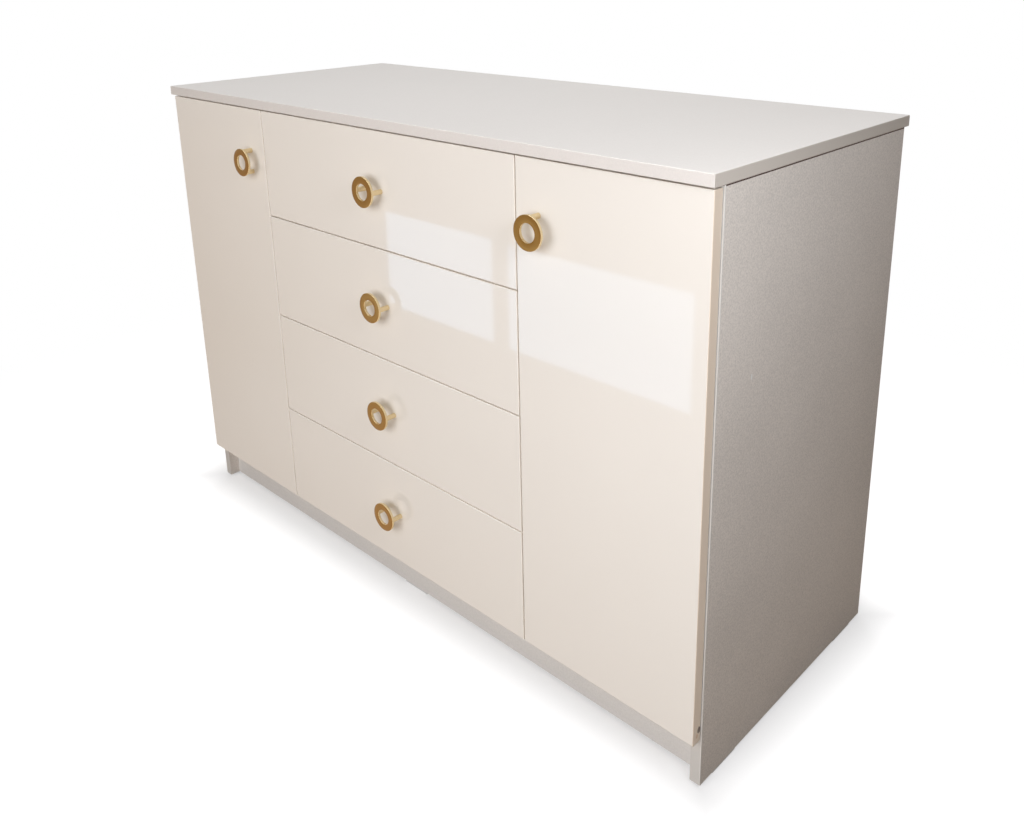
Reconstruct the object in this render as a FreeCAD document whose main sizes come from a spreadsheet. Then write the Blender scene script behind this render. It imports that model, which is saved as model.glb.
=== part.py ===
"""Flat-pack sideboard: two doors beside a stack of four drawers, on a recessed plinth.

Frame: +X to the right seen from the front, +Y to the back, +Z up, millimetres. The origin is
on the floor, midway between the sides and midway between the handles' faces and the top's
rear edge.
"""
import FreeCAD, Part
import os
import re
import Sketcher

SIZES = [
    ("top_width", 1200, "top panel, left to right"),
    ("top_depth", 500, "top panel, front to back"),
    ("overall_height", 830, "floor to the top's upper face"),
    ("board", 16, "melamine board thickness"),
    ("top_side_overhang", 1, "top beyond each side panel"),
    ("front_overhang", 5, "top beyond the door and drawer faces"),
    ("rear_overhang", 10, "top beyond the back panel"),
    ("edge_round", 1.2, "rounding of the edge bands"),
    ("glide_height", 5, "plastic glide under the boards"),
    ("glide_length", 55, "glide, along its board"),
    ("glide_width", 14, "glide, across its board"),
    ("glide_bevel", 1.2, "bevel round a glide's foot"),
    ("side_glide_inset", 32, "glide from a side panel's front or rear edge"),
    ("plinth_height", 70, "plinth boards"),
    ("plinth_setback", 20, "plinths behind the side panels' edges"),
    ("back_thickness", 3, "hardboard back"),
    ("back_edge_inset", 2, "back panel inside the carcass outline"),
    ("fronts_bottom", 74, "side panels' lower edge to the fronts' lower edge"),
    ("fronts_top_gap", 3, "fronts' upper edge to the top panel"),
    ("front_gap", 2, "gap between neighbouring fronts"),
    ("front_clearance", 1.5, "gap between the fronts and the carcass edges"),
    ("door_edge_inset", 3, "door's outer edge inside the top's end"),
    ("door_width", 297.5, "door, hinge edge to free edge"),
    ("ring_outer", 48, "handle ring, outer diameter"),
    ("ring_inner", 26, "handle ring, inner diameter"),
    ("ring_thickness", 4, "handle ring, front to back"),
    ("handle_standout", 22, "front face to the ring's face"),
    ("post_diameter", 8, "handle post"),
    ("door_handle_inset", 40, "handle centre from a door's free edge"),
    ("bumper_size", 5.6, "square felt bumper on the carcass edge"),
    ("bumper_inset", 60, "bumper from the top or bottom of its front"),
    ("seat_gap", 0.3, "running gap where moving pieces seat"),
    ("cup_radius", 17.5, "hinge cup"),
    ("cup_depth", 12, "hinge cup below the door's rear face"),
    ("cup_wall", 1, "hinge cup wall"),
    ("cup_edge_distance", 5, "hinge cup from the door's outer edge"),
    ("cup_flange", 1.2, "hinge cup flange thickness"),
    ("cup_ear_reach", 31, "hinge cup ear, from the cup's middle"),
    ("cup_ear_start", 2, "hinge cup ear, nearer edge from the cup's middle"),
    ("cup_ear_end", 17, "hinge cup ear, further edge from the cup's middle"),
    ("hinge_inset", 100, "hinge from a door's top or bottom edge"),
    ("arm_width", 11, "hinge arm, up and down"),
    ("arm_length", 62, "hinge arm behind the door"),
    ("arm_sheet", 1.2, "hinge arm sheet"),
    ("arm_low", 4.5, "hinge arm's legs, from the side panel"),
    ("arm_high", 14.5, "hinge arm's back, from the side panel"),
    ("plate_base", 2, "mounting plate base"),
    ("plate_start", 22, "mounting plate's front edge behind the door"),
    ("plate_length", 34, "mounting plate, front to back"),
    ("plate_wing", 26, "mounting plate wing, from the arm's middle"),
    ("cam_radius", 7.5, "cam lock"),
    ("cam_depth", 12.3, "cam lock, from the board's face"),
    ("cam_setback", 34, "cam lock centre from the board's end"),
    ("cam_slot_length", 9, "driver slot across a cam lock"),
    ("cam_slot_width", 2, "driver slot across a cam lock"),
    ("bore_clearance", 0.1, "bores round fittings"),
    ("cam_front_inset", 60, "cam locks from the board's front or rear edge"),
    ("pin_radius", 2.5, "shelf pin"),
    ("pin_length", 8, "shelf pin, in the board and out of it"),
    ("pin_inset", 50, "shelf pin from the shelf's front or rear edge"),
    ("shelf_setback", 20, "shelf behind the side panels' front edges"),
    ("shelf_side_gap", 2, "shelf from the boards beside it"),
    ("slide_space", 12.8, "partition to drawer box"),
    ("slide_length", 400, "drawer slide"),
    ("slide_setback", 2, "slide behind the partitions' front edges"),
    ("slide_sheet", 1.2, "slide steel"),
    ("slide_height", 45.6, "cabinet member, up and down"),
    ("slide_depth", 12.2, "cabinet member, out from the partition"),
    ("slide_lip", 1.2, "cabinet member's turned-in lip"),
    ("middle_height", 36, "middle member, up and down"),
    ("middle_web", 2.6, "middle member's web from the partition"),
    ("middle_edge", 11.2, "middle member's edge from the partition"),
    ("middle_shorter", 20, "middle member shorter than the slide"),
    ("inner_height", 27, "drawer member, up and down"),
    ("inner_edge", 5.6, "drawer member's edge from the partition"),
    ("retainer_width", 4.4, "ball retainer, across the slide"),
    ("retainer_length", 90, "ball retainer"),
    ("box_rise", 22, "drawer box above its front's lower edge"),
    ("box_height", 130, "drawer box sides"),
    ("box_length", 400, "drawer box behind its front"),
    ("bottom_thickness", 3, "hardboard drawer bottom"),
    ("groove_rise", 10, "bottom groove above the box's lower edge"),
    ("groove_depth", 6, "bottom groove"),
    ("groove_clearance", 0.2, "groove over the bottom's thickness"),
]

PLACES = [
    ("side_outer", "top_width / 2 - top_side_overhang", "x of a side's outer face"),
    ("side_inner", "side_outer - board", "x of a side's inner face"),
    ("slab_front", "(handle_standout - front_overhang) / 2 - top_depth / 2", "y of the top's front"),
    ("front_face", "slab_front + front_overhang", "y of the fronts' faces"),
    ("front_rear", "front_face + board", "y of the fronts' rear faces"),
    ("carcass_front", "front_rear + front_clearance", "y of the side panels' front edges"),
    ("carcass_rear", "slab_front + top_depth - rear_overhang - back_thickness", "y of their rear"),
    ("carcass_depth", "carcass_rear - carcass_front", "side panels, front to back"),
    ("side_height", "overall_height - glide_height - board", "side panels"),
    ("slab_under", "overall_height - board", "z of the top's underside"),
    ("bottom_under", "glide_height + plinth_height", "z of the bottom panel's underside"),
    ("bottom_upper", "bottom_under + board", "z of the bottom panel's upper face"),
    ("fronts_low", "glide_height + fronts_bottom", "z of the fronts' lower edge"),
    ("door_height", "slab_under - fronts_top_gap - fronts_low", "door, bottom to top"),
    ("drawer_pitch", "(door_height + front_gap) / 4", "one drawer front to the next"),
    ("drawer_height", "drawer_pitch - front_gap", "drawer front, bottom to top"),
    ("door_outer", "top_width / 2 - door_edge_inset", "x of a door's hinge edge"),
    ("door_free", "door_outer - door_width", "x of a door's free edge"),
    ("drawer_half", "door_free - front_gap", "half a drawer front's width"),
    ("partition_middle", "door_free - front_gap / 2", "x of a partition's middle"),
    ("partition_outer", "partition_middle + board / 2", "x of its face in the door bay"),
    ("partition_inner", "partition_middle - board / 2", "x of its face in the drawer bay"),
    ("partition_height", "slab_under - bottom_upper", "partition, bottom to top"),
    ("box_half", "partition_inner - slide_space", "half a drawer box's width"),
    ("post_offset", "(ring_outer + ring_inner) / 4", "handle post from the ring's middle"),
    ("handle_high", "slab_under - fronts_top_gap - drawer_height / 2", "z of the upper handles"),
    ("cup_offset", "cup_edge_distance + cup_radius", "hinge cup from the door's edge"),
    ("cup_bore", "cup_radius - cup_wall", "inside radius of a hinge cup"),
    ("arm_from_cup", "side_inner - (door_outer - cup_offset)", "side's face to the cup's middle"),
    ("shelf_width", "side_inner - partition_outer - 2 * shelf_side_gap", "shelf"),
    ("shelf_depth", "carcass_depth - shelf_setback", "shelf, front to back"),
    ("retainer_low", "inner_height / 2 + seat_gap", "inner retainer's near face"),
    ("retainer_high", "slide_height / 2 - slide_sheet - seat_gap", "outer retainer's far face"),
]

DRAWERS = (1, 2, 3, 4)
SIDES = (("left", -1), ("right", 1))
ENDS = (0, 1)
SHELF_LEVELS = (1, 2)
SHELF_BAYS = 3
FLATS = 12
X_AXIS = FreeCAD.Vector(1, 0, 0)
Y_AXIS = FreeCAD.Vector(0, 1, 0)
Z_AXIS = FreeCAD.Vector(0, 0, 1)
ABOUT_Y = FreeCAD.Rotation(Y_AXIS, 180)
ABOUT_Z = FreeCAD.Rotation(Z_AXIS, 180)
UPRIGHT = FreeCAD.Rotation(Y_AXIS, 90)
ALONG_X = FreeCAD.Rotation(Z_AXIS, 90)
NO_TURN = FreeCAD.Rotation()

doc = FreeCAD.newDocument("sideboard")
owner = {}
nodes = []


def tied(formula):
    """Expression text, with each named value prefixed by the sheet that holds it."""
    return re.sub(r"[a-z_]+", lambda word: owner.get(word[0], "") + word[0], formula)


def fill_sheet(name, rows, as_text):
    """Write one alias per row: note in column A, value or formula in column B."""
    sheet = doc.addObject("Spreadsheet::Sheet", name)
    for row, (alias, value, note) in enumerate(rows, 1):
        sheet.set(f"A{row}", note)
        sheet.set(f"B{row}", as_text(value))
        sheet.setAlias(f"B{row}", alias)
        owner[alias] = name + "."
    doc.recompute()
    return sheet


def place(item, x="0", y="0", z="0", turn=NO_TURN):
    """Turn an object, then tie its position to the sheets."""
    item.Placement = FreeCAD.Placement(FreeCAD.Vector(), turn)
    for axis, formula in zip("xyz", (x, y, z)):
        item.setExpression("Placement.Base." + axis, tied(formula))
    return item


def keep(item, label):
    """Mark an object as a sub-part and give it the name of its file."""
    item.Label = label
    nodes.append(item)
    return item


def value_of(sketch, formula):
    return float(sketch.evalExpression(tied(formula)))


def new_sketch(body, plane, lift="0"):
    """Sketch on one of the body's own origin planes, lifted along the plane's normal."""
    sketch = body.newObject("Sketcher::SketchObject", body.Name + "_sketch")
    support = [item for item in body.Origin.OriginFeatures if item.Role == plane]
    sketch.AttachmentSupport = [(support[0], "")]
    sketch.MapMode = "FlatFace"
    sketch.setExpression("AttachmentOffset.Base.z", tied(lift))
    return sketch


def tie_point(sketch, geometry, point, formulas):
    """Fix a point by its two distances from the sketch's origin."""
    for kind, formula in zip(("DistanceX", "DistanceY"), formulas):
        distance = value_of(sketch, formula)
        index = sketch.addConstraint(Sketcher.Constraint(kind, -1, 1, geometry, point, distance))
        sketch.setExpression(f"Constraints[{index}]", tied(formula))


def outline(sketch, corners):
    """Closed straight outline through corners, each a pair of formulas."""
    points = [FreeCAD.Vector(*(value_of(sketch, f) for f in pair), 0) for pair in corners]
    first = sketch.GeometryCount
    count = len(points)
    for index, point in enumerate(points):
        line = Part.LineSegment(point, points[(index + 1) % count])
        sketch.addGeometry(line, False)
    for index, pair in enumerate(corners):
        after = first + (index + 1) % count
        sketch.addConstraint(Sketcher.Constraint("Coincident", first + index, 2, after, 1))
        tie_point(sketch, first + index, 1, pair)
    return sketch


def rectangle(sketch, low, high):
    """Upright rectangle between two opposite corners."""
    (left, bottom), (right, top) = low, high
    return outline(sketch, [(left, bottom), (right, bottom), (right, top), (left, top)])


def circle(sketch, centre, radius):
    """Circle with its centre and radius tied to the sheets."""
    middle = FreeCAD.Vector(*(value_of(sketch, formula) for formula in centre), 0)
    size = value_of(sketch, radius)
    index = sketch.addGeometry(Part.Circle(middle, Z_AXIS, size), False)
    tie_point(sketch, index, 3, centre)
    datum = sketch.addConstraint(Sketcher.Constraint("Radius", index, size))
    sketch.setExpression(f"Constraints[{datum}]", tied(radius))
    return sketch


def round_few(sketch, centre, radius):
    """Round section of a small fitting that repeats, drawn with few sides to save faces."""
    turns = [360 * step / FLATS for step in range(FLATS)]
    return outline(sketch, [(f"{centre[0]} + ({radius}) * cos({turn})",
                             f"{centre[1]} + ({radius}) * sin({turn})") for turn in turns])


def new_body(name):
    return doc.addObject("PartDesign::Body", name)


def extrude(body, kind, sketch, length, backwards=False):
    """Pad or pocket a sketch; a pocket has to take material away."""
    doc.recompute()
    before = 0 if body.Shape.isNull() else body.Shape.Volume
    feature = body.newObject("PartDesign::" + kind, body.Name + "_" + kind.lower())
    feature.Profile = sketch
    feature.Reversed = backwards
    feature.setExpression("Length", tied(length))
    doc.recompute()
    if kind == "Pocket" and body.Shape.Volume >= before:
        raise RuntimeError(f"{body.Name}: a pocket cuts nothing")
    return feature


def revolve(body, sketch, axis):
    """Full turn of a sketch about one of its own axes."""
    feature = body.newObject("PartDesign::Revolution", body.Name + "_revolution")
    feature.Profile = sketch
    feature.ReferenceAxis = (sketch, [axis])
    feature.Angle = 360
    return feature


def soften(body, base, kind, formula, chosen):
    """Fillet or chamfer the edges of a feature that the chosen test picks."""
    doc.recompute()
    names = [f"Edge{i}" for i, edge in enumerate(base.Shape.Edges, 1) if chosen(edge)]
    feature = body.newObject("PartDesign::" + kind, body.Name + "_" + kind.lower())
    feature.Base = (base, names)
    sized = "Radius" if kind == "Fillet" else "Size"
    feature.setExpression(sized, tied(formula))
    return feature


def lies_at(edge, axis, level):
    """True where all of an edge's box is at one level along an axis."""
    box = edge.BoundBox
    near = 1e-6
    low, high = getattr(box, axis + "Min"), getattr(box, axis + "Max")
    return abs(low - level) < near and abs(high - level) < near


def copies(name, master, spots):
    """Linked copies of a master shape, each at its own (x, y, z, turn)."""
    links = []
    for number, (x, y, z, turn) in enumerate(spots, 1):
        link = doc.addObject("App::Link", f"{name}_{number}")
        link.LinkedObject = master
        links.append(place(link, x, y, z, turn))
    return links


def gather(name, links):
    """Compound of linked copies."""
    group = doc.addObject("Part::Compound", name)
    group.Links = links
    return group


def drilled(name, body, bores):
    """Board with the bores of its fittings cut out."""
    result = doc.addObject("Part::Cut", name)
    result.Base = body
    result.Tool = bores
    result.Refine = True
    return result


def turned(facing):
    """Rotation that takes local Z to the direction given."""
    return FreeCAD.Rotation(Z_AXIS, facing)


# ---------------------------------------------------------------- fittings of the carcass

def cam_spots():
    """Cam locks: three formulas for the drum's axis at mid-board, and the way it faces."""
    spots = []
    for _, sign in SIDES:
        outward = X_AXIS * sign
        for y in ("carcass_front + cam_front_inset", "carcass_rear - cam_front_inset"):
            for x, facing in ((f"{sign} * (side_outer - board / 2)", -outward),
                              (f"{sign} * partition_middle", outward)):
                spots.append((x, y, "slab_under - cam_setback", turned(facing)))
            end = f"{sign} * (side_inner - cam_setback)"
            spots.append((end, y, "bottom_under + board / 2", turned(-Z_AXIS)))
    return spots


def make_cam():
    """Zinc cam lock: a drum just below the board's face, with a driver slot."""
    body = new_body("cam")
    drum = round_few(new_sketch(body, "XY_Plane", "board / 2 - cam_depth"), ("0", "0"), "cam_radius")
    extrude(body, "Pad", drum, "cam_depth - 2 * bore_clearance")
    slot = new_sketch(body, "XY_Plane", "board / 2 - 2 * bore_clearance")
    rectangle(slot, ("-cam_slot_length / 2", "-cam_slot_width / 2"),
              ("cam_slot_length / 2", "cam_slot_width / 2"))
    extrude(body, "Pocket", slot, "cam_slot_width")
    return body


def make_cam_bore():
    """Tool for the blind bore that holds one cam lock."""
    body = new_body("cam_bore")
    drum = new_sketch(body, "XY_Plane", "board / 2 - cam_depth - bore_clearance")
    round_few(drum, ("0", "0"), "cam_radius + bore_clearance")
    extrude(body, "Pad", drum, "cam_depth + board / 2")
    return body


def shelf_z(level):
    """Height of a shelf's underside: the levels share the bay equally."""
    clear = f"(partition_height - {len(SHELF_LEVELS)} * board) / {SHELF_BAYS}"
    return f"bottom_upper + {level} * {clear} + {level - 1} * board"


def pin_spots():
    """Shelf pins in the side panels and the partitions, under each shelf's corners."""
    front = "carcass_front + shelf_setback + pin_inset"
    rear = "carcass_rear - pin_inset"
    spots = []
    for _, sign in SIDES:
        for level in SHELF_LEVELS:
            z = shelf_z(level) + " - pin_radius"
            for y in (front, rear):
                inward, outward = (NO_TURN, ABOUT_Z) if sign < 0 else (ABOUT_Z, NO_TURN)
                spots.append((f"{sign} * side_inner", y, z, inward))
                spots.append((f"{sign} * partition_outer", y, z, outward))
    return spots


def make_pin():
    """Steel shelf pin, half in the board and half under the shelf."""
    body = new_body("pin")
    section = round_few(new_sketch(body, "YZ_Plane", "-pin_length"), ("0", "0"), "pin_radius")
    extrude(body, "Pad", section, "2 * pin_length")
    return body


def make_pin_bore():
    """Tool for one shelf pin's blind hole."""
    body = new_body("pin_bore")
    section = new_sketch(body, "YZ_Plane", "-pin_length - bore_clearance")
    round_few(section, ("0", "0"), "pin_radius + bore_clearance")
    extrude(body, "Pad", section, "2 * pin_length")
    return body


def make_glide():
    """Moulded glide, bevelled round its foot."""
    body = new_body("glide")
    plan = new_sketch(body, "XY_Plane")
    rectangle(plan, ("-glide_width / 2", "0"), ("glide_width / 2", "glide_length"))
    foot = extrude(body, "Pad", plan, "glide_height")
    soften(body, foot, "Chamfer", "glide_bevel", lambda edge: lies_at(edge, "Z", 0))
    return body


def glide_spots():
    """Two glides under each side panel and one under the middle of each plinth."""
    spots = []
    for _, sign in SIDES:
        x = f"{sign} * (side_outer - board / 2)"
        spots.append((x, "carcass_front + side_glide_inset", "0", NO_TURN))
        spots.append((x, "carcass_rear - side_glide_inset - glide_length", "0", NO_TURN))
    spots.append(("glide_length / 2", "carcass_front + plinth_setback + board / 2", "0", ALONG_X))
    spots.append(("glide_length / 2", "carcass_rear - plinth_setback - board / 2", "0", ALONG_X))
    return spots


def make_bumper():
    """Square felt pad that a front closes against."""
    body = new_body("bumper")
    half = "bumper_size / 2"
    face = rectangle(new_sketch(body, "XZ_Plane"), ("-" + half, "-" + half), (half, half))
    extrude(body, "Pad", face, "front_clearance - seat_gap / 2")
    return body


def bumper_spots():
    """Bumpers on the partitions' front edges: two a door and two a drawer."""
    spots = []
    for _, sign in SIDES:
        free = f"{sign} * (door_free + bumper_size / 2 + seat_gap)"
        for z in ("fronts_low + bumper_inset", "slab_under - fronts_top_gap - bumper_inset"):
            spots.append((free, "carcass_front", z, NO_TURN))
        inner = f"{sign} * (drawer_half - bumper_size / 2 - seat_gap)"
        for number in DRAWERS:
            z = drawer_low(number) + " + drawer_height - bumper_inset / 2"
            spots.append((inner, "carcass_front", z, NO_TURN))
    return spots


# ------------------------------------------------------------------------ carcass boards

def flat_board(name, low, high):
    """Board lying flat, from its lower-left-front corner, given as three formulas."""
    body = new_body(name)
    plan = new_sketch(body, "XY_Plane")
    rectangle(plan, ("0", "0"), (f"{high[0]} - ({low[0]})", f"{high[1]} - ({low[1]})"))
    extrude(body, "Pad", plan, high[2])
    return place(body, *low)


def upright_board(name, x, z, height):
    """Side panel or partition, from its left face, as deep as the carcass."""
    body = new_body(name)
    face = rectangle(new_sketch(body, "YZ_Plane"), ("0", "0"), ("carcass_depth", height))
    extrude(body, "Pad", face, "board")
    return place(body, x, "carcass_front", z)


def facing_board(name, low, high, thickness):
    """Board that faces the front, between two corners in X and Z, from its front face."""
    body = new_body(name)
    face = new_sketch(body, "XZ_Plane")
    rectangle(face, ("0", "0"), (f"{high[0]} - ({low[0]})", f"{high[1]} - ({low[1]})"))
    extrude(body, "Pad", face, thickness, True)
    return body


def make_top():
    """Top panel with rounded edge bands all round, above and below."""
    body = new_body("top_board")
    plan = new_sketch(body, "XY_Plane")
    rectangle(plan, ("-top_width / 2", "0"), ("top_width / 2", "top_depth"))
    slab = extrude(body, "Pad", plan, "board")
    level = [slab.Shape.BoundBox.ZMin, slab.Shape.BoundBox.ZMax]
    soften(body, slab, "Fillet", "edge_round",
           lambda edge: lies_at(edge, "Z", level[0]) or lies_at(edge, "Z", level[1]))
    return place(body, "0", "slab_front", "slab_under")


def make_carcass():
    """Boards, fittings, back and shelves that stay still."""
    cams = copies("cam_lock", make_cam(), cam_spots())
    pins = copies("shelf_pin", make_pin(), pin_spots())
    bores = copies("lock_bore", make_cam_bore(), cam_spots())
    bores += copies("hole_bore", make_pin_bore(), pin_spots())
    tools = gather("bores", bores)
    keep(drilled("top_panel", make_top(), tools), "top_panel")
    for side, sign in SIDES:
        wall = "-side_outer" if sign < 0 else "side_inner"
        divider = f"{sign} * partition_middle - board / 2"
        panel = upright_board(f"wall_{side}", wall, "glide_height", "side_height")
        keep(drilled(f"side_{side}", panel, tools), f"side_{side}")
        panel = upright_board(f"divider_{side}", divider, "bottom_upper", "partition_height")
        keep(drilled(f"partition_{side}", panel, tools), f"partition_{side}")
    base = flat_board("base", ("-side_inner", "carcass_front", "bottom_under"),
                      ("side_inner", "carcass_rear", "board"))
    keep(drilled("bottom_panel", base, tools), "bottom_panel")
    plinths = (("front", "carcass_front + plinth_setback"),
               ("rear", "carcass_rear - plinth_setback - board"))
    for end, y in plinths:
        kick = facing_board(f"kick_{end}", ("-side_inner", "0"), ("side_inner", "plinth_height"),
                            "board")
        place(kick, "-side_inner", y, "glide_height")
        keep(drilled(f"plinth_{end}", kick, tools), f"plinth_{end}")
    back = facing_board("back", ("-side_outer + back_edge_inset", "bottom_under"),
                        ("side_outer - back_edge_inset", "slab_under"), "back_thickness")
    keep(place(back, "-side_outer + back_edge_inset", "carcass_rear", "bottom_under"), "back_panel")
    for side, sign in SIDES:
        low = "-side_inner" if sign < 0 else "partition_outer"
        shelf = new_body(f"shelf_{side}")
        plan = new_sketch(shelf, "XY_Plane")
        extrude(shelf, "Pad", rectangle(plan, ("0", "0"), ("shelf_width", "shelf_depth")), "board")
        spots = [(low + " + shelf_side_gap", "carcass_front + shelf_setback", shelf_z(level), NO_TURN)
                 for level in SHELF_LEVELS]
        keep(gather(f"shelves_{side}", copies(f"shelf_copy_{side}", shelf, spots)), f"shelves_{side}")
    keep(gather("cams", cams), "cam_locks")
    keep(gather("pins", pins), "shelf_pins")
    keep(gather("glide_set", copies("glide_copy", make_glide(), glide_spots())), "glides")
    keep(gather("bumper_set", copies("bumper_copy", make_bumper(), bumper_spots())), "bumpers")


# --------------------------------------------------------------- concealed cup hinges

def make_cup():
    """Pressed cup let into the door, with a flange and two screw ears on its rear face."""
    body = new_body("cup")
    profile = new_sketch(body, "XY_Plane")
    outline(profile, [
        ("0", "-cup_depth"), ("cup_radius", "-cup_depth"), ("cup_radius", "cup_flange"),
        ("cup_bore", "cup_flange"), ("cup_bore", "cup_wall - cup_depth"),
        ("0", "cup_wall - cup_depth")])
    revolve(body, profile, "V_Axis")
    doc.recompute()
    rim = circle(new_sketch(body, "XZ_Plane"), ("0", "0"), "cup_radius + cup_wall")
    circle(rim, ("0", "0"), "(cup_bore + cup_radius) / 2")
    extrude(body, "Pad", rim, "cup_flange", True)
    for sign in (-1, 1):
        ear = new_sketch(body, "XZ_Plane")
        rectangle(ear, ("cup_ear_start", f"{sign} * (cup_bore + cup_radius) / 2"),
                  ("cup_ear_end", f"{sign} * cup_ear_reach"))
        extrude(body, "Pad", ear, "cup_flange", True)
    return body


def make_arm():
    """Pressed hinge arm: a channel over the plate, with a nose that reaches into the cup."""
    body = new_body("arm")
    profile = new_sketch(body, "XY_Plane", "-arm_width / 2")
    tip = "cup_wall + seat_gap - cup_depth"
    outline(profile, [
        ("arm_low", "arm_length"), ("arm_low", "arm_low"), ("arm_low - cup_wall", "0"),
        ("arm_low - cup_wall", tip + " + arm_low / 2"), ("arm_low + cup_wall", tip),
        ("arm_high - cup_wall", tip), ("arm_high + cup_wall", tip + " + arm_low / 2"),
        ("arm_high + cup_wall", "0"), ("arm_high", "arm_low"), ("arm_high", "arm_length")])
    extrude(body, "Pad", profile, "arm_width")
    channel = new_sketch(body, "XZ_Plane", "-arm_length")
    rectangle(channel, ("0", "arm_sheet - arm_width / 2"),
              ("arm_high - arm_sheet", "arm_width / 2 - arm_sheet"))
    extrude(body, "Pocket", channel, "arm_length - 2 * arm_low", True)
    return body


def make_plate():
    """Cast mounting plate: a winged base with the ridge that the arm clips over."""
    body = new_body("plate")
    base = new_sketch(body, "YZ_Plane")
    rectangle(base, ("plate_start", "-plate_wing"), ("plate_start + plate_length", "plate_wing"))
    extrude(body, "Pad", base, "plate_base")
    ridge = new_sketch(body, "YZ_Plane")
    rectangle(ridge, ("plate_start", "arm_sheet + seat_gap - arm_width / 2"),
              ("plate_start + plate_length", "arm_width / 2 - arm_sheet - seat_gap"))
    extrude(body, "Pad", ridge, "arm_high - arm_sheet - seat_gap / 3")
    return body


def hinge_heights():
    return ("fronts_low + hinge_inset", "fronts_low + door_height - hinge_inset")


def make_hinge_seats():
    """Mounting plates and arms on the side panels."""
    spots = [(f"{sign} * side_inner", "front_rear", z, NO_TURN if sign < 0 else ABOUT_Y)
             for _, sign in SIDES for z in hinge_heights()]
    keep(gather("plate_set", copies("plate_copy", make_plate(), spots)), "hinge_plates")
    keep(gather("arm_set", copies("arm_copy", make_arm(), spots)), "hinge_arms")


# ------------------------------------------------------------------ handles and fronts

def make_handle():
    """Cast ring handle: a flat ring on two round posts."""
    body = new_body("handle")
    ring = new_sketch(body, "XZ_Plane", "handle_standout - ring_thickness")
    circle(ring, ("0", "0"), "ring_outer / 2")
    circle(ring, ("0", "0"), "ring_inner / 2")
    extrude(body, "Pad", ring, "ring_thickness")
    posts = new_sketch(body, "XZ_Plane")
    for sign in (-1, 1):
        round_few(posts, (f"{sign} * post_offset", "0"), "post_diameter / 2")
    extrude(body, "Pad", posts, "handle_standout - ring_thickness / 2")
    return body


def add_handle(label, handle, x, z, turn):
    """Handle at one place on a front."""
    spot = [(x, "front_face", z, turn)]
    keep(gather(f"{label}_ring", copies(f"{label}_grip", handle, spot)), f"{label}_handle")


def soft_front(name, width, height):
    """Door or drawer front with its face's edges rounded, from its lower-left corner."""
    body = facing_board(name, ("0", "0"), (width, height), "board")
    board = body.Tip
    soften(body, board, "Fillet", "edge_round", lambda edge: lies_at(edge, "Y", 0))
    return body


# ------------------------------------------------------------------------------- doors

def make_doors(handle):
    """Two doors that cover the side panels' edges and half of each partition's."""
    cup = make_cup()
    for side, sign in SIDES:
        body = soft_front(f"panel_{side}", "door_width", "door_height")
        cup_x = "cup_offset" if sign < 0 else "door_width - cup_offset"
        cups = new_sketch(body, "XZ_Plane", "-board")
        for z in ("hinge_inset", "door_height - hinge_inset"):
            circle(cups, (cup_x, z), "cup_radius + bore_clearance")
        extrude(body, "Pocket", cups, "cup_depth + bore_clearance", True)
        left = "-door_outer" if sign < 0 else "door_free"
        keep(place(body, left, "front_face", "fronts_low"), f"door_{side}_panel")
        grip = f"{sign} * (door_free + door_handle_inset)"
        add_handle(f"door_{side}", handle, grip, "handle_high", UPRIGHT)
        turn = NO_TURN if sign < 0 else ABOUT_Y
        spots = [(f"{sign} * (door_outer - cup_offset)", "front_rear", z, turn)
                 for z in hinge_heights()]
        keep(gather(f"cups_{side}", copies(f"cup_{side}", cup, spots)), f"door_{side}_cups")


# ----------------------------------------------------- telescopic ball-bearing slides

def channel(name, start, web, edge, half, sheet_from, length, lip=None):
    """Rolled steel channel along Y: a web with two flanges, and lips where it has them."""
    body = new_body(name)
    profile = new_sketch(body, "XZ_Plane")
    inside = f"{web} + slide_sheet" if sheet_from == "web" else f"{web} - slide_sheet"
    flange = f"{half} - slide_sheet"
    upper = [(edge, half), (edge, flange), (inside, flange)]
    if lip:
        upper = [(edge, half), (edge, f"{flange} - {lip}"), (f"{edge} - slide_sheet", f"{flange} - {lip}"),
                 (f"{edge} - slide_sheet", flange), (inside, flange)]
    lower = [(x, f"-({z})") for x, z in reversed(upper)]
    outline(profile, [(web, f"-({half})"), (web, half)] + upper + lower)
    extrude(body, "Pad", profile, length, True)
    return place(body, "0", start, "0")


def make_slide_members():
    """Cabinet, middle and drawer members, and the retainers that run between them."""
    cabinet = channel("cabinet_member", "0", "0", "slide_depth", "slide_height / 2", "web",
                      "slide_length", "slide_lip")
    middle = channel("middle_member", "0", "middle_web", "middle_edge", "middle_height / 2", "web",
                     "slide_length - middle_shorter")
    inner = channel("inner_member", "0", "slide_space", "inner_edge", "inner_height / 2", "edge",
                    "slide_length")
    retainers = []
    spans = (("outer_retainer", "middle_height / 2", "retainer_high"),
             ("inner_retainer", "retainer_low", "middle_height / 2 - slide_sheet"))
    for name, low, high in spans:
        body = new_body(name)
        profile = new_sketch(body, "XZ_Plane")
        middle_x = "(inner_edge + middle_edge) / 2"
        for sign in (-1, 1):
            rectangle(profile, (f"{middle_x} - retainer_width / 2", f"{sign} * ({low})"),
                      (f"{middle_x} + retainer_width / 2", f"{sign} * ({high})"))
        extrude(body, "Pad", profile, "retainer_length", True)
        retainers.append(body)
    return cabinet, middle, inner, retainers


# ----------------------------------------------------------------------------- drawers

def drawer_low(number):
    """Height of a drawer front's lower edge; drawer 1 is the top one."""
    return f"fronts_low + {len(DRAWERS) - number} * drawer_pitch"


def slide_z(number):
    return f"{drawer_low(number)} + box_rise + box_height / 2"


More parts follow.
